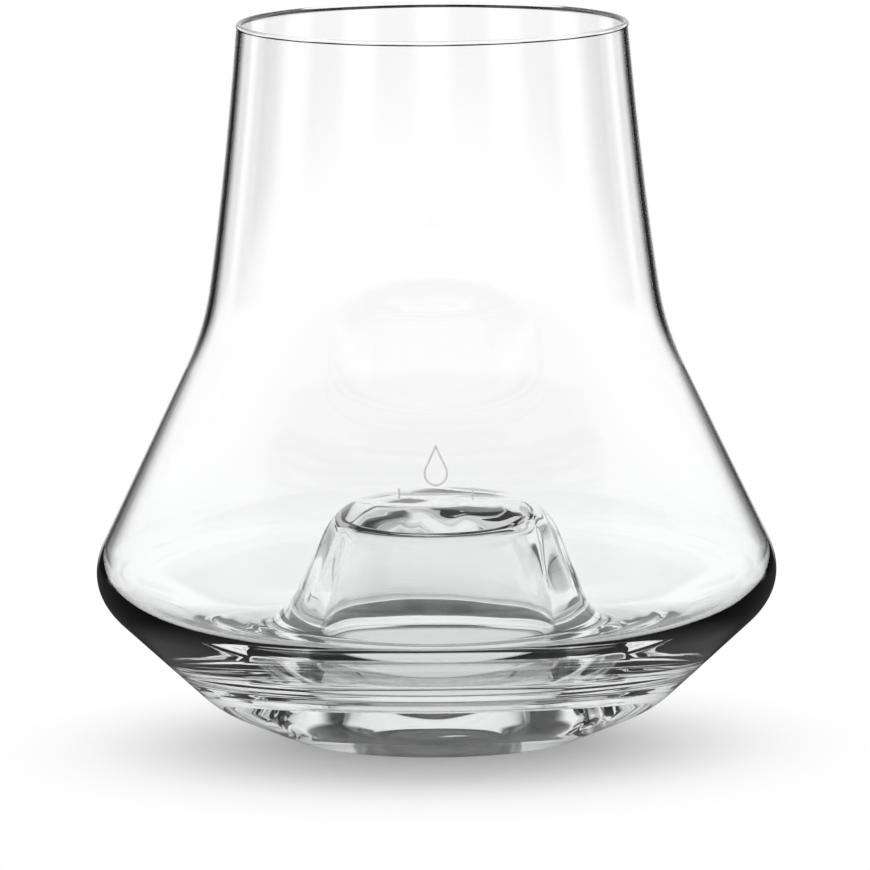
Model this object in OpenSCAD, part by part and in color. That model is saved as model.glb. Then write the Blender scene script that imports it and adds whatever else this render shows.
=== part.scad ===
/* [Lip] */
// Height of the lip above the table
glass_h = 102.3; // [94:0.1:112]
// Outer radius of the wall just under the lip
lip_r = 27.8; // [26.5:0.1:29]
// Wall thickness just under the lip
lip_wall = 0.7; // [0.6:0.05:0.85]
// Radius of the fire-polished bead that closes the lip
bead_r = 0.45; // [0.45:0.01:0.55]

/* [Neck] */
// Height of the point that draws the neck's side inward
neck_z = 79; // [74:0.5:84]
// Outer radius of the glass at that point
neck_r = 29.8; // [29.3:0.1:30.4]
// Wall thickness of the neck
neck_wall = 0.8; // [0.7:0.05:1]

/* [Shoulder] */
// Height of the shoulder, where the neck turns into the cone
shoulder_z = 58.4; // [55:0.2:62]
// Outer radius of the shoulder before it is rounded
shoulder_r = 32.9; // [31.5:0.1:34]
// Wall thickness at the shoulder, measured level
shoulder_wall = 0.9; // [0.8:0.05:1.2]
// Length of the shoulder's rounding along each side
shoulder_run = 6; // [3:0.5:9]

/* [Belly] */
// Height of the corner that the belly rounds off
belly_z = 21.9; // [21.2:0.1:22.6]
// Outer radius of that corner
belly_r = 50.4; // [49:0.1:52]
// Length of the belly's rounding along each side
belly_run = 7; // [5:0.5:8.5]
// Wall thickness at the belly, measured level
belly_wall = 2; // [1.5:0.1:2.6]

/* [Foot] */
// Outer radius of the standing ring
foot_r = 20.7; // [20.2:0.1:22]
// Width of the flat that the standing ring is ground to
foot_flat = 1.3; // [1:0.1:1.8]
// Radius of the standing ring's two edges
foot_edge = 0.3; // [0.2:0.05:0.5]
// Height of the corner where the underside turns up
heel_z = 4.7; // [3.7:0.1:5.7]
// Outer radius of that corner
heel_r = 31.8; // [30.8:0.1:33]
// Length of the heel's rounding along each side
heel_run = 3; // [1.5:0.5:4]

/* [Floor] */
// Height of the floor inside the glass above the table
floor_z = 11.5; // [10.9:0.1:12.5]
// Wall thickness at the corner where the floor turns up the side, measured level
turn_wall = 5.2; // [4.4:0.1:6]
// Length of that corner's rounding along each side
turn_run = 5; // [3.5:0.1:6.5]
// Height of the corner that the belly's inner wall rounds off
in_belly_z = 22.7; // [22.1:0.1:23.5]
// Length of that corner's rounding along each side
in_belly_run = 5.5; // [4:0.1:7]

/* [Dome] */
// Height of the dome's top above the table
dome_z = 33.4; // [32:0.1:35]
// Radius of the dome's level top
dome_top_r = 9.4; // [8.5:0.1:10.5]
// Radius of the dome's upper corner before it is rounded
dome_shoulder_r = 14.8; // [14.5:0.1:15.6]
// Radius of the dome where its flare begins
dome_waist_r = 21; // [20.5:0.1:21.5]
// Height at which that flare begins
dome_waist_z = 18.8; // [17.6:0.1:20]
// Radius at which the flare reaches the floor
dome_flare_r = 26; // [25:0.1:28]
// Depth of the shallow dip in the dome's top
dip_d = 0.3; // [0.1:0.1:0.9]

/* [Hollow] */
// Thickness of glass between the hollow's ceiling and the dome's dip
crown_wall = 3.5; // [2.8:0.1:5]
// Radius of the hollow at its ceiling before it is rounded
hollow_top_r = 13.3; // [12:0.1:13.6]
// Length of the rounding at the hollow's ceiling
hollow_round = 1.4; // [0.8:0.2:2.4]
// Radius of the hollow where it meets the seam under the dome
hollow_seam_r = 18.4; // [17.8:0.1:18.8]
// Height of that seam
hollow_seam_z = 8; // [7:0.5:9.5]

/* [Fill mark] */
// Height of the printed fill line above the table
mark_z = 40.5; // [39:0.5:42]
// Length of the fill line
mark_w = 10.5; // [8:0.5:13]
// Width of each printed stroke
stroke_w = 0.28; // [0.2:0.02:0.4]
// Radius of the printed drop
drop_r = 1.7; // [1.3:0.1:2]
// Height of the drop's tip above its centre
drop_tip = 3.8; // [3.2:0.1:4.4]
// Clear height between the line and the drop
drop_gap = 0.9; // [0.6:0.1:1.3]
// Length of the tick at each end of the line
tick_l = 1.3; // [0.8:0.1:1.8]
// Thickness of the fired ink
ink_t = 0.06; // [0.05:0.01:0.1]

/* [Hidden] */
$fn = 96;
// Straight pieces in each curve of a profile
curve_steps = 8;
// Straight pieces in the lip's bead and in the printed drop's arc
bead_steps = 10;
arc_steps = 16;
// Colour of the clear glass and of the fired ink
glass_colour = [0.86, 0.9, 0.9, 0.45];
ink_colour = [0.62, 0.62, 0.62];

// Points are [radius, height] in the half plane of the profile
function mix(a, b, share) = a + (b - a) * share;
function unit(v) = v / norm(v);
function toward(a, b, reach) = a + unit(b - a) * reach;
function quad(a, b, c, share) = mix(mix(a, b, share), mix(b, c, share), share);
function bend(a, b, c) = [for (i = [0:curve_steps]) quad(a, b, c, i / curve_steps)];
function flip(points) = [for (i = [len(points) - 1:-1:0]) points[i]];
function rest(points) = [for (i = [1:len(points) - 1]) points[i]];

// Outer side, from the lip down to the standing ring
lip = [lip_r, glass_h - bead_r];
neck = [neck_r, neck_z];
shoulder = [shoulder_r, shoulder_z];
belly = [belly_r, belly_z];
heel = [heel_r, heel_z];
foot = [foot_r, 0];
shoulder_top = toward(shoulder, neck, shoulder_run);
shoulder_low = toward(shoulder, belly, shoulder_run);
belly_top = toward(belly, shoulder, belly_run);
belly_low = toward(belly, heel, belly_run);
heel_top = toward(heel, belly, heel_run);
heel_low = toward(heel, foot, heel_run);
outer_neck = bend(lip, neck, shoulder_top);
outer_shoulder = bend(shoulder_top, shoulder, shoulder_low);
outer_belly = bend(belly_top, belly, belly_low);
outer_heel = bend(heel_top, heel, heel_low);

// Inner side, from the lip down to the floor
in_lip = [lip_r - lip_wall, glass_h - bead_r];
in_neck = [neck_r - neck_wall, neck_z];
in_shoulder = [shoulder_r - shoulder_wall, shoulder_z];
in_belly = [belly_r - belly_wall, in_belly_z];
outer_at_floor = heel_r + (belly_r - heel_r) * (floor_z - heel_z) / (belly_z - heel_z);
in_turn = [outer_at_floor - turn_wall, floor_z];
in_shoulder_top = toward(in_shoulder, in_neck, shoulder_run);
in_shoulder_low = toward(in_shoulder, in_belly, shoulder_run);
in_belly_top = toward(in_belly, in_shoulder, in_belly_run);
in_belly_low = toward(in_belly, in_turn, in_belly_run);
inner_neck = bend(in_lip, in_neck, in_shoulder_top);
inner_shoulder = bend(in_shoulder_top, in_shoulder, in_shoulder_low);
inner_belly = bend(in_belly_top, in_belly, in_belly_low);
inner_turn = bend(toward(in_turn, in_belly, turn_run), in_turn, in_turn - [turn_run, 0]);

// Seam between the bowl and the base, shared by both
seam_out = belly_low;
seam_in = in_belly_low;

// Dome and the hollow under it
dome_corner = [dome_shoulder_r, dome_z];
dome_waist = [dome_waist_r, dome_waist_z];
dome_side = toward(dome_corner, dome_waist, dome_shoulder_r - dome_top_r);
dome_foot = [dome_flare_r, floor_z];
flare_share = (dome_waist_z - floor_z) / (dome_side[1] - dome_waist_z);
dome_flare_turn = dome_waist + (dome_waist - dome_side) * flare_share;
dome_dip = [0, dome_z - dip_d];
hollow_ceiling = dome_z - dip_d - crown_wall;
hollow_corner = [hollow_top_r, hollow_ceiling];
hollow_seam = [hollow_seam_r, hollow_seam_z];
hollow_side = toward(hollow_corner, hollow_seam, hollow_round);
hollow_top = [hollow_top_r - hollow_round, hollow_ceiling];
foot_in = foot_r - foot_flat - 2 * foot_edge;

// Ends of the straight cone that the fill mark is printed on
mark_low = belly_top;
mark_high = shoulder_low;

module turned(points) {
    rotate_extrude() polygon(points);
}

// Blown wall of the glass, from the beaded lip down to the heavy base
module bowl() {
    bead_centre = [lip_r - lip_wall / 2, glass_h - bead_r];
    bead_drop = sqrt(pow(bead_r, 2) - pow(lip_wall / 2, 2));
    bead_start = atan2(bead_drop, lip_wall / 2);
    bead_turn = 180 + 2 * bead_start;
    bead = [for (i = [0:bead_steps])
        let (turn = 180 + bead_start - bead_turn * i / bead_steps)
        bead_centre + bead_r * [cos(turn), sin(turn)]];
    color(glass_colour) turned(concat(
        bead,
        rest(outer_neck),
        rest(outer_shoulder),
        outer_belly,
        flip(inner_belly),
        flip(inner_shoulder),
        [for (i = [curve_steps - 1:-1:1]) inner_neck[i]]));
}

// Heavy base: the cone under the belly, the standing ring and the floor
module base() {
    outer_edge = bend(toward(foot, heel, foot_edge), foot, foot - [foot_edge, 0]);
    ring_in = [foot_in, 0];
    inner_edge = bend(ring_in + [foot_edge, 0], ring_in, toward(ring_in, hollow_seam, foot_edge));
    color(glass_colour) turned(concat(
        [seam_out],
        outer_heel,
        outer_edge,
        inner_edge,
        [hollow_seam, dome_foot],
        flip(inner_turn),
        [seam_in]));
}

// Hollow dome raised in the middle of the floor
module dome() {
    color(glass_colour) turned(concat(
        [dome_dip],
        bend([dome_top_r, dome_z], dome_corner, dome_side),
        bend(dome_waist, dome_flare_turn, dome_foot),
        [hollow_seam],
        bend(hollow_side, hollow_corner, hollow_top),
        [[0, hollow_ceiling]]));
}

// Outline of a drop: an arc closed by two straight sides that meet in a tip
function drop_outline(radius, tip) =
    let (lean = asin(radius / tip))
    concat([[0, tip]], [for (i = [0:arc_steps])
        let (turn = 180 - lean + (180 + 2 * lean) * i / arc_steps)
        radius * [cos(turn), sin(turn)]]);

// Plain drop above a level line, printed on the front of the cone
module fill_mark() {
    drop_z = mark_z + stroke_w + drop_gap + drop_r;
    color(ink_colour) intersection() {
        turned([mark_low, mark_high, mark_high + [ink_t, 0], mark_low + [ink_t, 0]]);
        rotate([90, 0, 0]) linear_extrude(belly_r) {
            translate([-mark_w / 2, mark_z]) square([mark_w, stroke_w]);
            for (side = [-1, 1])
                translate([side * (mark_w - stroke_w) / 2 - stroke_w / 2, mark_z - tick_l / 2])
                    square([stroke_w, tick_l + stroke_w]);
            translate([0, drop_z]) difference() {
                polygon(drop_outline(drop_r, drop_tip));
                polygon(drop_outline(drop_r - stroke_w, drop_tip - 2 * stroke_w));
            }
        }
    }
}

bowl();
base();
dome();
fill_mark();
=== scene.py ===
"""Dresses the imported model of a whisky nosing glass.

The glass is turned from one profile: a thin blown bowl, a heavy base that stands on a ring, and a
hollow dome raised in the floor, all clear and fused together. A fill mark in fired ink is printed
on the front. Lengths are in metres; MM turns a size in millimetres into metres.
"""

import enum
import logging
import math
from dataclasses import dataclass, field
from typing import Optional, Sequence, Union

import bpy
import numpy as np
from mathutils import Euler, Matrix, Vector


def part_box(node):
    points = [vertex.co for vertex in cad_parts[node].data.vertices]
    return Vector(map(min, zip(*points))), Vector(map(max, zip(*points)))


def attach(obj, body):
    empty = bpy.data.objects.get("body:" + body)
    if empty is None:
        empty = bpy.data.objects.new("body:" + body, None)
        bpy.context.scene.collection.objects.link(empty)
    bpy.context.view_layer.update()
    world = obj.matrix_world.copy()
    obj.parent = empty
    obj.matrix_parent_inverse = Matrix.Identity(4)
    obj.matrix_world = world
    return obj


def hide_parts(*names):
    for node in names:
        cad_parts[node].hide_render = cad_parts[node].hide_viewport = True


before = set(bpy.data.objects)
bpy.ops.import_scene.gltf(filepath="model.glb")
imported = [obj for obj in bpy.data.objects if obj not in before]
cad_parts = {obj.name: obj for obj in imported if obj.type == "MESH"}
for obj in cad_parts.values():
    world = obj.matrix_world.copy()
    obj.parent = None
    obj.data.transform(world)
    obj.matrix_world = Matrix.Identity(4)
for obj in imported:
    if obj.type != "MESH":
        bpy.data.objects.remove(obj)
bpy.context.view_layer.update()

MM = 0.001
BODY = "root"
# How often light may turn in the glass, and how many clear seams it may pass
LIGHT_BOUNCES = 8
SEAM_PASSES = 32
# Points of a profile that lie closer than this are one point
TOUCHING = 1e-9
WHITE = (1.0, 1.0, 1.0, 1.0)
Colour = tuple[float, float, float, float]
log = logging.getLogger("nosing_glass")


# Shader bench
class Signal:
    """One output of a node. Arithmetic on it adds Math nodes."""

    def __init__(self, bench: "Bench", node: bpy.types.Node, output: Union[int, str] = 0) -> None:
        """Holds an output.

        Args:
            bench: The bench that its node is on.
            node: The node.
            output: The output's name or place.
        """
        self.bench = bench
        self.node = node
        self.output = output

    @property
    def socket(self) -> bpy.types.NodeSocket:
        """The socket that this signal leaves by."""
        return self.node.outputs[self.output]

    def take(self, output: Union[int, str]) -> "Signal":
        """Another output of the same node."""
        return Signal(self.bench, self.node, output)

    def math(self, operation: str, *terms: "Term") -> "Signal":
        """A Math node whose terms are this signal and what is given.

        Args:
            operation: The Math node's operation.
            terms: Numbers or signals for the later sockets.

        Returns:
            The node's value.
        """
        return self.bench.maths(operation, self, *terms)

    def __add__(self, other: "Term") -> "Signal":
        """This plus other."""
        return self.bench.maths("ADD", self, other)

    def __radd__(self, other: "Term") -> "Signal":
        """Other plus this."""
        return self.bench.maths("ADD", other, self)

    def __sub__(self, other: "Term") -> "Signal":
        """This less other."""
        return self.bench.maths("SUBTRACT", self, other)

    def __rsub__(self, other: "Term") -> "Signal":
        """Other less this."""
        return self.bench.maths("SUBTRACT", other, self)

    def __mul__(self, other: "Term") -> "Signal":
        """This times other."""
        return self.bench.maths("MULTIPLY", self, other)

    def __rmul__(self, other: "Term") -> "Signal":
        """Other times this."""
        return self.bench.maths("MULTIPLY", other, self)

    def rise(self, low: "Term", high: "Term") -> "Signal":
        """A smooth step of this signal.

        Args:
            low: Where the step is 0.
            high: Where the step is 1.

        Returns:
            A value from 0 to 1.
        """
        settings = {"interpolation_type": "SMOOTHSTEP"}
        sockets = {"Value": self, "From Min": low, "From Max": high}
        return self.bench.fit("ShaderNodeMapRange", settings, sockets)


Term = Union[Signal, float]
Setting = Union[str, bool, int, float]
Feed = Union[Signal, float, Sequence[float]]


class Bench:
    """A node tree, on which the nodes of one finish are fitted and joined."""

    MIX_COLOURS = {"share": 0, "first": 6, "second": 7, "result": 2}

    def __init__(self, tree: bpy.types.NodeTree) -> None:
        """Takes a tree and clears it."""
        self.tree = tree
        tree.nodes.clear()

    def fit(
        self,
        kind: str,
        settings: Optional[dict[str, Setting]] = None,
        feeds: Optional[dict[Union[int, str], Feed]] = None,
    ) -> Signal:
        """Adds a node, sets it, and then feeds its sockets.

        Args:
            kind: The node's type.
            settings: Its properties, such as a Math node's operation.
            feeds: A value or a signal for each socket that needs one.

        Returns:
            The node's first output.
        """
        node = self.tree.nodes.new(kind)
        for name, value in (settings or {}).items():
            setattr(node, name, value)
        for key, value in (feeds or {}).items():
            if isinstance(value, Signal):
                self.tree.links.new(value.socket, node.inputs[key])
            else:
                node.inputs[key].default_value = value
        return Signal(self, node)

    def maths(self, operation: str, *terms: Term) -> Signal:
        """A Math node on numbers and signals."""
        return self.fit("ShaderNodeMath", {"operation": operation}, dict(enumerate(terms)))

    def vector(self, operation: str, *terms: Feed) -> Signal:
        """A Vector Math node on vectors and signals."""
        return self.fit("ShaderNodeVectorMath", {"operation": operation}, dict(enumerate(terms)))

    def blend(self, share: Term, first: Feed, second: Feed) -> Signal:
        """Mixes two colours.

        Args:
            share: How much of the second shows.
            first: A colour or a signal.
            second: A colour or a signal.

        Returns:
            The mixed colour.
        """
        place = self.MIX_COLOURS
        feeds = {place["share"]: share, place["first"]: first, place["second"]: second}
        mix = self.fit("ShaderNodeMix", {"data_type": "RGBA"}, feeds)
        return mix.take(place["result"])

    def noise(self, vector: Feed, scale: float, detail: float = 2.0) -> Signal:
        """Soft noise, centred on one half."""
        feeds = {"Vector": vector, "Scale": scale, "Detail": detail}
        return self.fit("ShaderNodeTexNoise", {}, feeds)

    def layer(self, share: Term, under: Signal, over: Signal) -> Signal:
        """Lays one shader over another, by a share from 0 to 1."""
        return self.fit("ShaderNodeMixShader", {}, {0: share, 1: under, 2: over})

    def glow(self, strength: float) -> Signal:
        """Plain white light."""
        return self.fit("ShaderNodeEmission", {}, {"Color": WHITE, "Strength": strength})

    def reflected(self) -> Signal:
        """1 for light that the glass last reflected, and 0 for light that passed through it."""
        path = self.fit("ShaderNodeLightPath")
        return path.take("Is Glossy Ray") * (1 - path.take("Is Transmission Ray"))


def new_material(name: str) -> tuple[bpy.types.Material, Bench]:
    """Makes an empty node material.

    Args:
        name: What the finish is called.

    Returns:
        The material and its bench.
    """
    material = bpy.data.materials.new(name)
    material.use_nodes = True
    return material, Bench(material.node_tree)


# Finishes
@dataclass(frozen=True)
class ClearGlass:
    """Clear lead-free crystal, fire polished, with faint striae and a slight tint low down."""

    name: str = "clear_crystal"
    ior: float = 1.5
    thin_tint: Colour = WHITE
    thick_tint: Colour = (0.985, 0.992, 0.99, 1.0)
    heavy_z: float = 22 * MM
    light_z: float = 50 * MM
    striae_stretch: tuple[float, float, float] = (90.0, 90.0, 14.0)
    striae_depth: float = 0.012 * MM
    ring_z: float = 0.5 * MM
    ring_roughness: float = 0.3
    grit_scale: float = 2400.0
    grit_least: float = 0.7
    grit_swing: float = 0.6

    def material(self) -> bpy.types.Material:
        """Builds the glass.

        Returns:
            A material with transmission, faint striae in its normal, and a ground standing ring.
        """
        material, bench = new_material(self.name)
        place = bench.fit("ShaderNodeTexCoord").take("Object")
        height = bench.fit("ShaderNodeSeparateXYZ", {}, {0: place}).take("Z")
        thin = height.rise(self.heavy_z, self.light_z)
        tint = bench.blend(thin, self.thick_tint, self.thin_tint)
        striae = bench.noise(bench.vector("MULTIPLY", place, self.striae_stretch), 1.0, 1.0)
        bump_feeds = {"Strength": 1.0, "Distance": self.striae_depth, "Height": striae}
        bump = bench.fit("ShaderNodeBump", {}, bump_feeds)
        grit = bench.noise(place, self.grit_scale)
        ground = (1 - height.rise(0.0, self.ring_z)) * (grit * self.grit_swing + self.grit_least)
        feeds = {
            "Base Color": tint,
            "Roughness": ground * self.ring_roughness,
            "IOR": self.ior,
            "Transmission Weight": 1.0,
            "Normal": bump,
        }
        shell = bench.fit("ShaderNodeBsdfPrincipled", {}, feeds)
        bench.fit("ShaderNodeOutputMaterial", {}, {"Surface": shell})
        return material


@dataclass(frozen=True)
class FusedSeam:
    """Where two parts of the glass are melted into one, so nothing shows."""

    name: str = "fused_seam"

    def material(self) -> bpy.types.Material:
        """Builds a surface that light passes unbent.

        Returns:
            A clear material.
        """
        material, bench = new_material(self.name)
        clear = bench.fit("ShaderNodeBsdfTransparent", {}, {"Color": WHITE})
        bench.fit("ShaderNodeOutputMaterial", {}, {"Surface": clear})
        return material


@dataclass(frozen=True)
class FiredInk:
    """Pale grey enamel, screen printed and fired, with a grain and worn blotches."""

    name: str = "fired_grey_enamel"
    colour: Colour = (0.48, 0.48, 0.49, 1.0)
    worn_colour: Colour = (0.64, 0.64, 0.65, 1.0)
    grain_scale: float = 5200.0
    grain_depth: float = 0.01 * MM
    grains_to_blotch: float = 6.0
    blotch_share: float = 0.5
    worn_from: float = 0.35
    worn_to: float = 0.65
    roughness: float = 0.42
    roughness_swing: float = 0.2

    def material(self) -> bpy.types.Material:
        """Builds the enamel.

        Returns:
            A grey material, mottled and with a fine grain in its gloss and normal.
        """
        material, bench = new_material(self.name)
        place = bench.fit("ShaderNodeTexCoord").take("Object")
        grain = bench.noise(place, self.grain_scale)
        blotch = bench.noise(place, self.grain_scale / self.grains_to_blotch)
        mottle = grain * (1 - self.blotch_share) + blotch * self.blotch_share
        wear = mottle.rise(self.worn_from, self.worn_to)
        colour = bench.blend(wear, self.colour, self.worn_colour)
        bump_feeds = {"Strength": 1.0, "Distance": self.grain_depth, "Height": grain}
        bump = bench.fit("ShaderNodeBump", {}, bump_feeds)
        feeds = {
            "Base Color": colour,
            "Roughness": grain * self.roughness_swing + self.roughness,
            "Normal": bump,
        }
        enamel = bench.fit("ShaderNodeBsdfPrincipled", {}, feeds)
        bench.fit("ShaderNodeOutputMaterial", {}, {"Surface": enamel})
        return material


# Profile
class Skin(enum.Enum):
    """The side of the glass that a stretch of the profile belongs to."""

    INSIDE = enum.auto()
    OUTSIDE = enum.auto()
    UNDERSIDE = enum.auto()
    SEAM = enum.auto()


def point(radius: float, height: float) -> np.ndarray:
    """A point of the profile."""
    return np.array((radius, height), float)


def unit(vector: np.ndarray) -> np.ndarray:
    """A vector at length one."""
    return vector / np.linalg.norm(vector)


def unit_rows(vectors: np.ndarray) -> np.ndarray:
    """Vectors at length one, one in each row."""
    return vectors / np.linalg.norm(vectors, axis=1)[:, None]


def toward(start: np.ndarray, end: np.ndarray, reach: float) -> np.ndarray:
    """The point at a distance from start towards end."""
    return start + unit(end - start) * reach


@dataclass
class Stretch:
    """A smooth run of the profile, with its points and its heading at each."""

    points: np.ndarray
    headings: np.ndarray
    skin: Skin

    LONGEST = 1.6 * MM
    TURNS = 22

    @classmethod
    def straight(cls, start: np.ndarray, end: np.ndarray, skin: Skin) -> "Stretch":
        """Makes a straight run, cut finely enough to bend with the handwork.

        Args:
            start: Its first point.
            end: Its last point.
            skin: The side that it belongs to.

        Returns:
            The run, in one piece where it is a seam.
        """
        pieces = max(1, math.ceil(np.linalg.norm(end - start) / cls.LONGEST))
        if skin is Skin.SEAM:
            pieces = 1
        share = np.linspace(0, 1, pieces + 1)[:, None]
        points = start + (end - start) * share
        return cls(points, np.tile(unit(end - start), (len(points), 1)), skin)

    @classmethod
    def bend(cls, start: np.ndarray, corner: np.ndarray, end: np.ndarray, skin: Skin) -> "Stretch":
        """Makes a corner that a quadratic curve rounds off.

        Args:
            start: Where the curve starts.
            corner: The corner.
            end: Where the curve ends.
            skin: The side that it belongs to.

        Returns:
            The curve.
        """
        share = np.linspace(0, 1, cls.TURNS + 1)[:, None]
        points = (1 - share) ** 2 * start + 2 * share * (1 - share) * corner + share**2 * end
        slopes = (1 - share) * (corner - start) + share * (end - corner)
        return cls(points, unit_rows(slopes), skin)

    @classmethod
    def arc(
        cls, centre: np.ndarray, radius: float, start: float, end: float, skin: Skin
    ) -> "Stretch":
        """Makes a clockwise arc.

        Args:
            centre: Its centre.
            radius: Its radius.
            start: The angle of its start, in radians.
            end: The angle of its end.
            skin: The side that it belongs to.

        Returns:
            The arc.
        """
        turn = np.linspace(start, end, cls.TURNS + 1)
        outward = np.stack((np.cos(turn), np.sin(turn)), axis=1)
        headings = np.stack((np.sin(turn), -np.cos(turn)), axis=1)
        return cls(centre + radius * outward, headings, skin)


def run_through(skin: Skin, *marks: Union[np.ndarray, tuple]) -> list[Stretch]:
    """Joins points by straights, with a bend where a mark is (start, corner, end).

    Args:
        skin: The side that the run belongs to.
        marks: Points, or the three points of a bend, in order along the profile.

    Returns:
        The stretches, without empty straights.
    """
    stretches: list[Stretch] = []
    last: Optional[np.ndarray] = None
    for mark in marks:
        first = mark[0] if isinstance(mark, tuple) else mark
        if last is not None and np.linalg.norm(first - last) > TOUCHING:
            stretches.append(Stretch.straight(last, first, skin))
        if isinstance(mark, tuple):
            stretches.append(Stretch.bend(*mark, skin))
        last = mark[2] if isinstance(mark, tuple) else mark
    return stretches


@dataclass
class GlassForm:
    """The turned form of the glass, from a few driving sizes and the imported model's heights."""

    lip_r: float = 27.8 * MM
    lip_wall: float = 0.7 * MM
    bead_r: float = 0.45 * MM
    neck_z: float = 79 * MM
    neck_r: float = 29.8 * MM
    neck_wall: float = 0.8 * MM
    shoulder_z: float = 58.4 * MM
    shoulder_r: float = 32.9 * MM
    shoulder_wall: float = 0.9 * MM
    shoulder_run: float = 6 * MM
    belly_z: float = 21.9 * MM
    belly_r: float = 50.4 * MM
    belly_run: float = 7 * MM
    belly_wall: float = 2 * MM
    in_belly_z: float = 22.7 * MM
    in_belly_run: float = 5.5 * MM
    foot_r: float = 20.7 * MM
    foot_flat: float = 1.3 * MM
    foot_edge: float = 0.3 * MM
    heel_z: float = 4.7 * MM
    heel_r: float = 31.8 * MM
    heel_run: float = 3 * MM
    floor_z: float = 11.5 * MM
    turn_wall: float = 5.2 * MM
    turn_run: float = 5 * MM
    dome_top_r: float = 9.4 * MM
    dome_shoulder_r: float = 14.8 * MM
    dome_waist_r: float = 21 * MM
    dome_waist_z: float = 18.8 * MM
    dome_flare_r: float = 26 * MM
    dip_d: float = 0.3 * MM
    crown_wall: float = 3.5 * MM
    hollow_top_r: float = 13.3 * MM
    hollow_round: float = 1.4 * MM
    hollow_seam_r: float = 18.4 * MM
    hollow_seam_z: float = 8 * MM
    lip_z: float = field(default_factory=lambda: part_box("bowl")[1].z)
    dome_z: float = field(default_factory=lambda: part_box("dome")[1].z)

    def __post_init__(self) -> None:
        """Works out the corners that the parts share."""
        self.lip = point(self.lip_r, self.lip_z - self.bead_r)
        self.in_lip = self.lip - point(self.lip_wall, 0)
        shoulder = point(self.shoulder_r, self.shoulder_z)
        neck = point(self.neck_r, self.neck_z)
        belly = point(self.belly_r, self.belly_z)
        heel = point(self.heel_r, self.heel_z)
        self.shoulder_low = toward(shoulder, belly, self.shoulder_run)
        self.belly_top = toward(belly, shoulder, self.belly_run)
        self.seam_out = toward(belly, heel, self.belly_run)
        shoulder_top = toward(shoulder, neck, self.shoulder_run)
        self.outer_wall = (
            (self.lip, neck, shoulder_top),
            (shoulder_top, shoulder, self.shoulder_low),
            (self.belly_top, belly, self.seam_out),
        )
        in_neck = neck - point(self.neck_wall, 0)
        in_shoulder = shoulder - point(self.shoulder_wall, 0)
        in_belly = point(self.belly_r - self.belly_wall, self.in_belly_z)
        slope = (self.belly_r - self.heel_r) / (self.belly_z - self.heel_z)
        outer_at_floor = self.heel_r + slope * (self.floor_z - self.heel_z)
        turn = point(outer_at_floor - self.turn_wall, self.floor_z)
        in_top = toward(in_shoulder, in_neck, self.shoulder_run)
        self.seam_in = toward(in_belly, turn, self.in_belly_run)
        self.inner_wall = (
            (self.seam_in, in_belly, toward(in_belly, in_shoulder, self.in_belly_run)),
            (toward(in_shoulder, in_belly, self.shoulder_run), in_shoulder, in_top),
            (in_top, in_neck, self.in_lip),
        )
        foot = point(self.foot_r, 0)
        ring_in = point(self.foot_r - self.foot_flat - 2 * self.foot_edge, 0)
        edge = point(self.foot_edge, 0)
        self.hollow_seam = point(self.hollow_seam_r, self.hollow_seam_z)
        self.dome_foot = point(self.dome_flare_r, self.floor_z)
        self.underside = (
            self.seam_out,
            (toward(heel, belly, self.heel_run), heel, toward(heel, foot, self.heel_run)),
            (toward(foot, heel, self.foot_edge), foot, foot - edge),
            (ring_in + edge, ring_in, toward(ring_in, self.hollow_seam, self.foot_edge)),
            self.hollow_seam,
        )
        turn_low = turn - point(self.turn_run, 0)
        turn_top = toward(turn, in_belly, self.turn_run)
        self.floor = (self.dome_foot, (turn_low, turn, turn_top), self.seam_in)
        corner = point(self.dome_shoulder_r, self.dome_z)
        waist = point(self.dome_waist_r, self.dome_waist_z)
        side = toward(corner, waist, self.dome_shoulder_r - self.dome_top_r)
        flare_share = (self.dome_waist_z - self.floor_z) / (side[1] - self.dome_waist_z)
        flare_turn = waist + (waist - side) * flare_share
        dip = point(0, self.dome_z - self.dip_d)
        top = point(self.dome_top_r, self.dome_z)
        self.dome_outside = (dip, (top, corner, side), (waist, flare_turn, self.dome_foot))
        ceiling_z = dip[1] - self.crown_wall
        hollow_corner = point(self.hollow_top_r, ceiling_z)
        self.hollow = (
            self.hollow_seam,
            (
                toward(hollow_corner, self.hollow_seam, self.hollow_round),
                hollow_corner,
                hollow_corner - point(self.hollow_round, 0),
            ),
            point(0, ceiling_z),
        )


# Unevenness
@dataclass(frozen=True)
class Fade:
    """A smooth step, which is 0 up to low and 1 from high on."""

    low: float
    high: float

    def at(self, value: np.ndarray) -> np.ndarray:
        """The step at each value."""
        share = np.clip((value - self.low) / (self.high - self.low), 0, 1)
        return share * share * (3 - 2 * share)


@dataclass(frozen=True)
class Wave:
    """A wave round the axis, by its number of crests, its size and its phase."""

    crests: int
    size: float
    phase: float

    def at(self, angle: np.ndarray, twist: Union[np.ndarray, float] = 0.0) -> np.ndarray:
        """The wave at each bearing."""
        return self.size * np.sin(self.crests * angle + self.phase + twist)


@dataclass(frozen=True)
class Dent:
    """A soft dent that a tool has left in the dome's side."""

    bearing: float
    height: float
    wide: float
    tall: float
    depth: float

    def at(self, radius: np.ndarray, angle: np.ndarray, height: np.ndarray) -> np.ndarray:
        """Measures the dent.

        Args:
            radius: Each point's distance from the axis.
            angle: Its bearing.
            height: Its height.

        Returns:
            How far the dent draws each point in.
        """
        turn = (angle - self.bearing + math.pi) % (2 * math.pi) - math.pi
        along = turn * radius / self.wide
        up = (height - self.height) / self.tall
        return self.depth * np.exp(-(along**2) - up**2)


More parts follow.
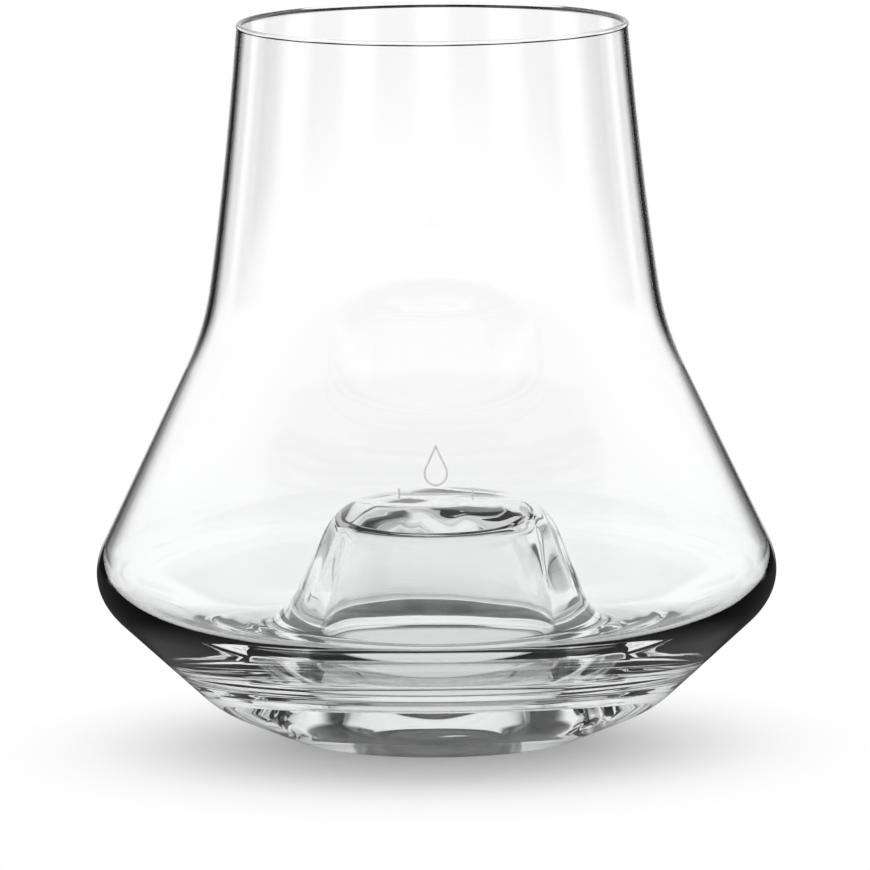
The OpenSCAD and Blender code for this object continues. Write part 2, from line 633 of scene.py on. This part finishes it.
@dataclass(frozen=True)
class Handwork:
    """The small unevenness of hand-finished glass. It fades at the lip, the ring and the seams."""

    dome_shift: float = 0.8 * MM
    fold_depth: float = 0.3 * MM
    fold_pitch: float = 3.2 * MM
    fold_focus: int = 4
    fold_end: Fade = Fade(24 * MM, 30 * MM)
    fold_waves: tuple[Wave, ...] = (Wave(3, 0.5, 0.4), Wave(7, 0.45, 2.1), Wave(11, 0.35, 5.0))
    dent_rise: Fade = Fade(0, 0.4)
    dents: tuple[Dent, ...] = (
        Dent(math.radians(-36), 23.5 * MM, 2.0 * MM, 3.4 * MM, 0.5 * MM),
        Dent(math.radians(-158), 26.5 * MM, 1.8 * MM, 5.0 * MM, 0.5 * MM),
        Dent(math.radians(-12), 25.0 * MM, 1.6 * MM, 6.0 * MM, 0.4 * MM),
        Dent(math.radians(-30), 31.5 * MM, 1.6 * MM, 1.6 * MM, 0.3 * MM),
        Dent(math.radians(-150), 31.5 * MM, 1.6 * MM, 1.6 * MM, 0.3 * MM),
    )
    swirl_depth: float = 0.22 * MM
    swirl_arms: int = 2
    swirl_twist: float = 5.0
    swirl_start: Fade = Fade(0.5 * MM, 4 * MM)
    swirl_end: Fade = Fade(9 * MM, 13 * MM)
    swirl_below_top: Fade = Fade(-4 * MM, -2 * MM)
    ripple_depth: float = 0.02 * MM
    ripple_pitch: float = 2.6 * MM
    ripple_sway: Wave = Wave(1, 0.8, 1.0)
    ripple_start: Fade = Fade(22 * MM, 26 * MM)
    ripple_end: Fade = Fade(33 * MM, 38 * MM)
    ripple_top: Fade = Fade(17 * MM, 20 * MM)
    hollow_depth: float = 0.07 * MM
    hollow_pitch: float = 5 * MM
    hollow_end: Fade = Fade(17.5 * MM, 19 * MM)
    hollow_rise: Fade = Fade(2 * MM, 8 * MM)
    wall_wave: Wave = Wave(2, 0.03 * MM, 1.1)
    wall_from: float = 26 * MM
    wall_above_seam: Fade = Fade(2 * MM, 14 * MM)
    wall_below_lip: Fade = Fade(-25 * MM, -4 * MM)
    axis_r: float = 1 * MM
    probe: float = 0.01 * MM

    def _folds(self, angle: np.ndarray, twist: np.ndarray) -> np.ndarray:
        """Uneven waves round the axis, from -1 to 1 or so."""
        return sum(wave.at(angle, twist) for wave in self.fold_waves)

    def _inside(
        self, radius: np.ndarray, angle: np.ndarray, z: np.ndarray, form: GlassForm
    ) -> tuple[np.ndarray, np.ndarray, np.ndarray]:
        """How the dome and the floor are out of true.

        Args:
            radius: Each point's distance from the axis.
            angle: Its bearing.
            z: Its height.
            form: The turned form.

        Returns:
            How far each point moves outward, up, and to the dome's leaning side.
        """
        near_dome = 1 - Fade(form.dome_waist_r, form.dome_flare_r).at(radius)
        raised = Fade(form.floor_z, form.dome_z).at(z)
        flank = raised * (1 - raised) * 4 * (1 - self.fold_end.at(radius))
        folds = np.cos(angle) ** self.fold_focus * self._folds(angle, z / self.fold_pitch)
        dented = sum(dent.at(radius, angle, z) for dent in self.dents)
        out = self.fold_depth * flank * folds
        out = out - near_dome * self.dent_rise.at(raised) * dented
        on_top = self.swirl_start.at(radius) * (1 - self.swirl_end.at(radius))
        crown = on_top * self.swirl_below_top.at(z - form.dome_z)
        spiral = self.swirl_arms * angle + self.swirl_twist * radius / form.dome_top_r
        flat = self.ripple_start.at(radius) * (1 - self.ripple_end.at(radius))
        flat = flat * (1 - self.ripple_top.at(z))
        rings = np.sin(2 * math.pi * radius / self.ripple_pitch + self.ripple_sway.at(angle))
        lift = self.swirl_depth * crown * np.sin(spiral) + self.ripple_depth * flat * rings
        return out, lift, self.dome_shift * raised * near_dome

    def _underside(self, radius: np.ndarray, angle: np.ndarray, z: np.ndarray) -> np.ndarray:
        """How far the hollow's side is out of true."""
        hollow = (1 - self.hollow_end.at(radius)) * self.hollow_rise.at(z)
        return self.hollow_depth * hollow * self._folds(angle, z / self.hollow_pitch)

    def _wall(
        self, radius: np.ndarray, angle: np.ndarray, z: np.ndarray, form: GlassForm
    ) -> np.ndarray:
        """How the blown wall is out of true, the same on both of its sides.

        Args:
            radius: Each point's distance from the axis.
            angle: Its bearing.
            z: Its height.
            form: The turned form.

        Returns:
            How far each point moves outward.
        """
        share = 1 - self.wall_below_lip.at(z - form.lip_z)
        share = share * self.wall_above_seam.at(z - form.seam_in[1]) * (radius > self.wall_from)
        return share * self.wall_wave.at(angle)

    def moved(self, places: np.ndarray, skin: Skin, form: GlassForm) -> np.ndarray:
        """Where the points of a skin lie once the unevenness is in.

        Args:
            places: Points of the true turned form, one in each row.
            skin: The side that they are on.
            form: The turned form.

        Returns:
            The moved points.
        """
        x, y, z = places.T
        radius, angle = np.hypot(x, y), np.arctan2(y, x)
        out, lift, shift = np.zeros((3, len(places)))
        if skin is Skin.INSIDE:
            out, lift, shift = self._inside(radius, angle, z, form)
        if skin is Skin.UNDERSIDE:
            out = self._underside(radius, angle, z)
        else:
            out = out + self._wall(radius, angle, z, form)
        scale = 1 + out / np.maximum(radius, self.axis_r)
        return np.stack((x * scale + shift, y * scale, z + lift), axis=1)

    def turned_normals(
        self, places: np.ndarray, normals: np.ndarray, skin: Skin, form: GlassForm
    ) -> np.ndarray:
        """The normals of a skin once the unevenness is in, from how it moves near each point.

        Args:
            places: Points of the true turned form, one in each row.
            normals: The turned form's normals there.
            skin: The side that they are on.
            form: The turned form.

        Returns:
            The turned normals, at length one.
        """
        columns = []
        for reach in np.eye(3) * self.probe:
            ahead = self.moved(places + reach, skin, form)
            behind = self.moved(places - reach, skin, form)
            columns.append((ahead - behind) / (2 * self.probe))
        jacobian = np.stack(columns, axis=2)
        turned = np.linalg.solve(np.swapaxes(jacobian, 1, 2), normals[:, :, None])[:, :, 0]
        return unit_rows(turned)


# Meshes
@dataclass
class TurnedPiece:
    """A closed piece of glass, turned from a loop of stretches."""

    name: str
    stretches: list[Stretch]
    form: GlassForm
    handwork: Handwork
    on_axis: bool = False

    SEGMENTS = 384
    QUAD = 4

    def _rings(self, stretch: Stretch) -> tuple[np.ndarray, np.ndarray]:
        """Turns a stretch round the axis.

        Args:
            stretch: The stretch of the profile.

        Returns:
            The places and the normals of its rings, each as (ring, segment, axis).
        """
        turn = np.linspace(0, 2 * math.pi, self.SEGMENTS, endpoint=False)
        cos, sin, flat = np.cos(turn), np.sin(turn), np.ones_like(turn)
        radius, height = stretch.points[:, :1], stretch.points[:, 1:]
        places = np.stack((radius * cos, radius * sin, height * flat), axis=2)
        out, up = -stretch.headings[:, 1:], stretch.headings[:, :1]
        normals = np.stack((out * cos, out * sin, up * flat), axis=2)
        shape = places.shape
        places, normals = places.reshape(-1, 3), normals.reshape(-1, 3)
        if stretch.skin is not Skin.SEAM:
            normals = self.handwork.turned_normals(places, normals, stretch.skin, self.form)
            places = self.handwork.moved(places, stretch.skin, self.form)
        return places.reshape(shape), normals.reshape(shape)

    def build(self, glass: bpy.types.Material, seam: bpy.types.Material) -> bpy.types.Object:
        """Makes the mesh with its own normals, so that the parts join without a mark.

        Args:
            glass: The finish of the open surfaces, in slot 0.
            seam: The finish of the fused faces, in slot 1.

        Returns:
            The new object, in the scene.
        """
        rows: list[np.ndarray] = []
        faces: list[np.ndarray] = []
        corner_normals: list[np.ndarray] = []
        slots: list[np.ndarray] = []
        around = np.arange(self.SEGMENTS)
        onward = np.roll(around, -1)
        ring_count = sum(len(stretch.points) - 1 for stretch in self.stretches) + self.on_axis
        for stretch in self.stretches:
            places, normals = self._rings(stretch)
            for ring in range(len(places) - 1):
                low = len(rows) * self.SEGMENTS
                rows.append(places[ring])
                high = len(rows) % ring_count * self.SEGMENTS
                quads = (low + around, high + around, high + onward, low + onward)
                faces.append(np.stack(quads, axis=1))
                here, there = normals[ring], normals[ring + 1]
                at_corners = (here, there, there[onward], here[onward])
                corner_normals.append(np.stack(at_corners, axis=1))
                slots.append(np.full(self.SEGMENTS, int(stretch.skin is Skin.SEAM)))
        if self.on_axis:
            rows.append(places[-1])
        mesh = self._mesh(*(np.concatenate(p) for p in (rows, faces, corner_normals, slots)))
        mesh.materials.append(glass)
        mesh.materials.append(seam)
        made = bpy.data.objects.new(self.name, mesh)
        bpy.context.scene.collection.objects.link(made)
        return made

    def _mesh(
        self, places: np.ndarray, faces: np.ndarray, normals: np.ndarray, slots: np.ndarray
    ) -> bpy.types.Mesh:
        """Makes the mesh of a piece.

        Args:
            places: The places of the rings' points, ring by ring.
            faces: Four corners for each face. On the axis, a ring counts as one point.
            normals: A normal for each corner of each face.
            slots: The material slot of each face.

        Returns:
            The mesh, with its own normals.
        """
        normals = normals.reshape(-1, 3)
        corners = faces.reshape(-1)
        sizes = np.full(len(faces), self.QUAD)
        if self.on_axis:
            top = np.arange(self.SEGMENTS)
            end = len(places) - self.SEGMENTS + top
            centre_top, centre_end = len(places), len(places) + 1
            centres = (places[top].mean(0)[None], places[end].mean(0)[None])
            places = np.concatenate((places, *centres))
            corners = np.where(corners < self.SEGMENTS, centre_top, corners)
            on_end = (corners >= end[0]) & (corners < centre_top)
            corners = np.where(on_end, centre_end, corners)
            quads = corners.reshape(-1, self.QUAD)
            kept = np.ones(quads.shape, bool)
            kept[quads[:, 0] == quads[:, 3], 3] = False
            kept[quads[:, 1] == quads[:, 2], 2] = False
            sizes = kept.sum(1)
            corners = quads[kept]
            normals = normals.reshape(-1, self.QUAD, 3)[kept]
            used = np.unique(corners)
            renumber = np.full(len(places), -1)
            renumber[used] = np.arange(len(used))
            places, corners = places[used], renumber[corners]
        mesh = bpy.data.meshes.new(self.name)
        mesh.vertices.add(len(places))
        mesh.vertices.foreach_set("co", places.astype(np.float32).ravel())
        mesh.loops.add(len(corners))
        mesh.loops.foreach_set("vertex_index", corners.astype(np.int32))
        mesh.polygons.add(len(sizes))
        starts = np.concatenate(((0,), np.cumsum(sizes)[:-1]))
        mesh.polygons.foreach_set("loop_start", starts.astype(np.int32))
        mesh.polygons.foreach_set("material_index", slots.astype(np.int32))
        mesh.polygons.foreach_set("use_smooth", np.ones(len(sizes), bool))
        mesh.update(calc_edges=True)
        mesh.validate()
        mesh.normals_split_custom_set(normals)
        return mesh


def dress(piece: bpy.types.Object, slot: str, *nodes: str) -> None:
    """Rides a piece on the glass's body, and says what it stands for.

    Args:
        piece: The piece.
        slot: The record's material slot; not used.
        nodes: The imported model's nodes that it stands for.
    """
    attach(piece, BODY)
    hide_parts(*nodes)
    log.info("%s: %d faces stand for %s", piece.name, len(piece.data.polygons), ", ".join(nodes))


@dataclass
class Bowl:
    """The blown wall, from the beaded lip to the seam under the belly."""

    form: GlassForm
    handwork: Handwork
    name: str = "blown_bowl"

    def build(self, glass: bpy.types.Material, seam: bpy.types.Material) -> bpy.types.Object:
        """Turns the wall and its lip.

        Args:
            glass: The finish of the open surfaces.
            seam: The finish of the fused faces.

        Returns:
            The bowl.
        """
        form = self.form
        centre = (form.lip + form.in_lip) / 2
        drop = math.sqrt(form.bead_r**2 - (form.lip_wall / 2) ** 2)
        lean = math.atan2(drop, form.lip_wall / 2)
        bead = Stretch.arc(centre, form.bead_r, math.pi + lean, -lean, Skin.OUTSIDE)
        loop = run_through(Skin.INSIDE, *form.inner_wall) + [bead]
        loop += run_through(Skin.OUTSIDE, *form.outer_wall)
        loop.append(Stretch.straight(form.seam_out, form.seam_in, Skin.SEAM))
        piece = TurnedPiece(self.name, loop, form, self.handwork).build(glass, seam)
        dress(piece, "clear_glass", "bowl")
        return piece


@dataclass
class Base:
    """The heavy base: its cone, standing ring and floor."""

    form: GlassForm
    handwork: Handwork
    name: str = "pressed_base"

    def build(self, glass: bpy.types.Material, seam: bpy.types.Material) -> bpy.types.Object:
        """Turns the base between its two seams.

        Args:
            glass: The finish of the open surfaces.
            seam: The finish of the fused faces.

        Returns:
            The base.
        """
        form = self.form
        loop = run_through(Skin.INSIDE, *form.floor)
        loop.append(Stretch.straight(form.seam_in, form.seam_out, Skin.SEAM))
        loop += run_through(Skin.UNDERSIDE, *form.underside)
        loop.append(Stretch.straight(form.hollow_seam, form.dome_foot, Skin.SEAM))
        piece = TurnedPiece(self.name, loop, form, self.handwork).build(glass, seam)
        dress(piece, "clear_glass", "base")
        return piece


@dataclass
class Dome:
    """The hollow dome that is raised in the floor."""

    form: GlassForm
    handwork: Handwork
    name: str = "raised_dome"

    def build(self, glass: bpy.types.Material, seam: bpy.types.Material) -> bpy.types.Object:
        """Turns the dome from the middle of its top round to the hollow's ceiling.

        Args:
            glass: The finish of the open surfaces.
            seam: The finish of the fused faces.

        Returns:
            The dome.
        """
        form = self.form
        loop = run_through(Skin.INSIDE, *form.dome_outside)
        loop.append(Stretch.straight(form.dome_foot, form.hollow_seam, Skin.SEAM))
        loop += run_through(Skin.UNDERSIDE, *form.hollow)
        piece = TurnedPiece(self.name, loop, form, self.handwork, on_axis=True).build(glass, seam)
        dress(piece, "clear_glass", "dome")
        return piece


Ribbon = tuple[np.ndarray, np.ndarray, bool]


@dataclass
class FillMark:
    """A drop above a level line with end ticks, printed on the front of the cone."""

    form: GlassForm
    line_z: float = 40.5 * MM
    line_w: float = 10.5 * MM
    stroke: float = 0.28 * MM
    drop_r: float = 1.7 * MM
    drop_tip: float = 3.8 * MM
    drop_gap: float = 0.9 * MM
    tick: float = 1.3 * MM
    thickness: float = 0.06 * MM
    lift: float = 0.004 * MM
    name: str = "printed_fill_mark"

    LINE_POINTS = 40
    SHORT_POINTS = 12
    ARC_POINTS = 48
    LEAST_MITRE = 0.35

    def _ribbon(self, middle: np.ndarray, closed: bool) -> Ribbon:
        """Widens a line into a stroke.

        Args:
            middle: The line's (x, z) points.
            closed: Whether its ends meet.

        Returns:
            The stroke's two edges, and whether it closes.
        """
        ahead = np.roll(middle, -1, axis=0) - middle
        behind = middle - np.roll(middle, 1, axis=0)
        if not closed:
            ahead[-1], behind[0] = behind[-1], ahead[0]
        step = unit_rows(ahead)
        along = unit_rows(step + unit_rows(behind))
        side = np.stack((-along[:, 1], along[:, 0]), axis=1)
        square_to_step = np.stack((-step[:, 1], step[:, 0]), axis=1)
        mitre = np.clip((side * square_to_step).sum(1), self.LEAST_MITRE, 1)
        half = side * (self.stroke / 2 / mitre)[:, None]
        return middle + half, middle - half, closed

    def _line_and_ticks(self) -> list[Ribbon]:
        """Draws the level line, and a tick at each of its ends.

        Returns:
            Their three strokes.
        """
        middle_z = self.line_z + self.stroke / 2
        reach = (self.line_w - self.stroke) / 2
        across = np.linspace(-reach, reach, self.LINE_POINTS)
        level = np.full_like(across, middle_z)
        strokes = [self._ribbon(np.stack((across, level), axis=1), False)]
        rise = np.linspace(-1, 1, self.SHORT_POINTS) * (self.tick + self.stroke) / 2
        for side in (-1, 1):
            upright = np.full_like(rise, side * reach)
            strokes.append(self._ribbon(np.stack((upright, middle_z + rise), axis=1), False))
        return strokes

    def _drop(self) -> Ribbon:
        """Draws the drop: an arc, and two straight sides that meet in its tip.

        Returns:
            Its one stroke.
        """
        radius, tip = self.drop_r - self.stroke / 2, self.drop_tip - self.stroke
        lean = math.asin(radius / tip)
        turn = np.linspace(math.pi - lean, 2 * math.pi + lean, self.ARC_POINTS)
        arc = radius * np.stack((np.cos(turn), np.sin(turn)), axis=1)
        peak = np.array((0.0, tip))
        share = np.linspace(0, 1, self.SHORT_POINTS, endpoint=False)[:, None]
        left_side = peak + (arc[0] - peak) * share
        right_side = arc[-1] + (peak - arc[-1]) * share
        outline = np.concatenate((left_side, arc, right_side[1:]))
        drop_z = self.line_z + self.stroke + self.drop_gap + self.drop_r
        return self._ribbon(outline + (0, drop_z), True)

    def _on_cone(self, flat: np.ndarray, proud: float) -> np.ndarray:
        """Lays points on the front of the cone.

        Args:
            flat: Their (x, z) places.
            proud: How far they stand off the glass.

        Returns:
            Their places in space.
        """
        low, high = self.form.belly_top, self.form.shoulder_low
        lean = (high[0] - low[0]) / (high[1] - low[1])
        radius = low[0] + (flat[:, 1] - low[1]) * lean + proud
        depth = np.sqrt(radius**2 - flat[:, 0] ** 2)
        return np.stack((flat[:, 0], -depth, flat[:, 1]), axis=1)

    def build(self, ink: bpy.types.Material) -> bpy.types.Object:
        """Makes each stroke a thin closed ribbon of enamel on the glass.

        Args:
            ink: The finish of the mark.

        Returns:
            The new object, in the scene.
        """
        places: list[np.ndarray] = []
        faces: list[tuple[int, ...]] = []
        top, low = self.lift + self.thickness, self.lift
        count = 0
        for left, right, closed in (*self._line_and_ticks(), self._drop()):
            size = len(left)
            edges = ((left, top), (right, top), (right, low), (left, low))
            places += [self._on_cone(flat, proud) for flat, proud in edges]
            lanes = [count + lane * size for lane in range(len(edges))]
            for i in range(size if closed else size - 1):
                j = (i + 1) % size
                for a, b in zip(lanes, lanes[1:] + lanes[:1]):
                    faces.append((a + i, b + i, b + j, a + j))
            if not closed:
                faces.append(tuple(reversed(lanes)))
                faces.append(tuple(lane + size - 1 for lane in lanes))
            count += len(lanes) * size
        mesh = bpy.data.meshes.new(self.name)
        mesh.from_pydata(np.concatenate(places).tolist(), [], faces)
        mesh.materials.append(ink)
        made = bpy.data.objects.new(self.name, mesh)
        bpy.context.scene.collection.objects.link(made)
        dress(made, "fired_ink", "fill_mark")
        return made


# Studio
@dataclass(frozen=True)
class Surroundings:
    """Bright-field light, the same from eight sides.

    Low down, white windows stand between dark strips. Above them the field is open and white, up
    to a ceiling that is dark through the glass and white where the glass reflects it.
    """

    windows: int = 8
    window_half: float = math.radians(7)
    window_soft: float = math.radians(8)
    dark: float = 0.02
    strips_low: float = math.radians(-2)
    strips_high: float = math.radians(4)
    open_field: float = 1.0
    ceiling_low: float = math.radians(28)
    ceiling_high: float = math.radians(33)
    ceiling: float = 0.03
    room: float = 0.95
    key: float = 0.5
    key_from: tuple[float, float, float] = (0.35, 0.5, 0.79)

    def build(self) -> None:
        """Makes the world. The camera sees it plain white, and matt surfaces see a plain room."""
        world = bpy.data.worlds.new("bright_field")
        world.use_nodes = True
        world.cycles.sampling_method = "NONE"
        bpy.context.scene.world = world
        bench = Bench(world.node_tree)
        direction = bench.fit("ShaderNodeTexCoord").take("Generated")
        split = bench.fit("ShaderNodeSeparateXYZ", {}, {0: direction})
        bearing = split.take("X").math("ARCTAN2", split.take("Y"))
        folded = bearing.math("PINGPONG", math.pi / self.windows)
        elevation = split.take("Z").math("ARCSINE")
        window = 1 - folded.rise(self.window_half, self.window_half + self.window_soft)
        strips = self.dark + (1 - self.dark) * window
        low = 1 - elevation.rise(self.strips_low, self.strips_high)
        level = self.open_field + (strips - self.open_field) * low
        below_ceiling = 1 - elevation.rise(self.ceiling_low, self.ceiling_high)
        ceiling = self.ceiling + (1 - self.ceiling) * bench.reflected()
        level = ceiling + (level - ceiling) * below_ceiling
        facing = bench.vector("DOT_PRODUCT", direction, self.key_from).take("Value")
        facing = facing.math("MAXIMUM", 0.0)
        room = self.room + self.key * (facing * facing)
        path = bench.fit("ShaderNodeLightPath")
        level = level + (room - level) * path.take("Is Diffuse Ray")
        level = level.math("MAXIMUM", path.take("Is Camera Ray"))
        sky = bench.fit("ShaderNodeBackground", {}, {"Color": WHITE, "Strength": level})
        bench.fit("ShaderNodeOutputWorld", {}, {"Surface": sky})


@dataclass(frozen=True)
class Table:
    """A round white table top, which keeps the glass's shadow and ends clear.

    It is matt near the glass, where its real shadow shows. Away from there it glows white; the
    glow fades in round a point in front of the glass, so the shadow reaches farther forward. Under
    the
    hollow it glows in a painted pool of light. Where the glass reflects the table, the glow is
    dim:
    a painted dark reflection, which keeps the thick edges dark.
    """

    radius: float = 0.3
    drop: float = 0.02 * MM
    near_glow: float = 0.26
    # Painted light: the table glows in a pool under the hollow, where the glass would focus light
    painted_pool_glow: float = 0.7
    pool_from: float = 16 * MM
    pool_to: float = 19 * MM
    # Painted reflection: where the glass reflects the table, its glow is held to this, so the
    # thick edges stay dark
    painted_reflection_glow: float = 0.05
    # Painted glow: it lifts the real shadow by near_glow near the glass, and fades in to full
    # white round this point in front of the glass, so the shadow shows farther forward
    fade_centre: tuple[float, float, float] = (0.0, -15 * MM, 0.0)
    fade_from: float = 15 * MM
    fade_to: float = 72 * MM
    end_from: float = 180 * MM
    colour: Colour = (0.9, 0.9, 0.91, 1.0)
    name: str = "table_top"

    SIDES = 128

    def material(self) -> bpy.types.Material:
        """Builds the table's finish.

        Returns:
            A matt white that turns to plain white light, and then clear, away from the glass.
        """
        material, bench = new_material("white_table")
        place = bench.fit("ShaderNodeTexCoord").take("Object")
        radius = bench.vector("LENGTH", place).take("Value")
        reach = bench.vector("DISTANCE", place, self.fade_centre).take("Value")
        away = reach.rise(self.fade_from, self.fade_to)
        # A painted pool of light under the hollow
        pool = (1 - radius.rise(self.pool_from, self.pool_to)) * self.painted_pool_glow
        glow_share = (self.near_glow + (1 - self.near_glow) * away).math("MAXIMUM", pool)
        # The dim glow is a painted dark reflection: the glass reflects the table dimmer than the
        # camera sees it
        bright, dim = bench.glow(1.0), bench.glow(self.painted_reflection_glow)
        glow = bench.layer(bench.reflected(), bright, dim)
        matt = bench.fit("ShaderNodeBsdfDiffuse", {}, {"Color": self.colour})
        beyond = bench.fit("ShaderNodeBsdfTransparent", {}, {"Color": WHITE})
        top = bench.layer(glow_share, matt, glow)
        ended = bench.layer(radius.rise(self.end_from, self.radius), top, beyond)
        bench.fit("ShaderNodeOutputMaterial", {}, {"Surface": ended})
        return material

    def build(self) -> bpy.types.Object:
        """Makes the table top, just under the standing ring.

        Returns:
            The table top, in the scene.
        """
        turn = np.linspace(0, 2 * math.pi, self.SIDES, endpoint=False)
        level = np.full_like(turn, -self.drop)
        edge = np.stack((self.radius * np.cos(turn), self.radius * np.sin(turn), level), axis=1)
        mesh = bpy.data.meshes.new(self.name)
        mesh.from_pydata(edge.tolist(), [], [tuple(range(self.SIDES))])
        mesh.materials.append(self.material())
        top = bpy.data.objects.new(self.name, mesh)
        bpy.context.scene.collection.objects.link(top)
        return top


@dataclass(frozen=True)
class Viewpoint:
    """The camera, where the picture was taken from. Its lens is in millimetres."""

    distance: float = 1.5
    height: float = 0.25537
    side: float = -0.07 * MM
    down: float = math.radians(8.055)
    roll: float = math.radians(-0.469)
    lens: float = 439.9
    nearest: float = 0.05
    farthest: float = 50.0

    def build(self) -> bpy.types.Object:
        """Makes the camera and gives it to the scene.

        Returns:
            The camera.
        """
        data = bpy.data.cameras.new("camera")
        data.lens = self.lens
        data.clip_start, data.clip_end = self.nearest, self.farthest
        camera = bpy.data.objects.new("camera", data)
        bpy.context.scene.collection.objects.link(camera)
        camera.location = (self.side, -self.distance, self.height)
        tilt = Euler((math.pi / 2 - self.down, 0, 0)).to_matrix()
        camera.rotation_euler = (tilt @ Euler((0, 0, self.roll)).to_matrix()).to_euler()
        bpy.context.scene.camera = camera
        return camera


def main() -> None:
    """Builds the glass, the studio and the camera, in that order."""
    logging.basicConfig(level=logging.INFO, format="%(name)s: %(message)s")
    scene = bpy.context.scene
    scene.view_settings.view_transform = "Standard"
    for kind in ("max", "transmission", "glossy"):
        setattr(scene.cycles, f"{kind}_bounces", LIGHT_BOUNCES)
    scene.cycles.transparent_max_bounces = SEAM_PASSES
    form = GlassForm()
    handwork = Handwork()
    glass = ClearGlass().material()
    seam = FusedSeam().material()
    for part in (Bowl(form, handwork), Base(form, handwork), Dome(form, handwork)):
        part.build(glass, seam)
    FillMark(form).build(FiredInk().material())
    Table().build()
    Surroundings().build()
    Viewpoint().build()


if __name__ == "__main__":
    main()
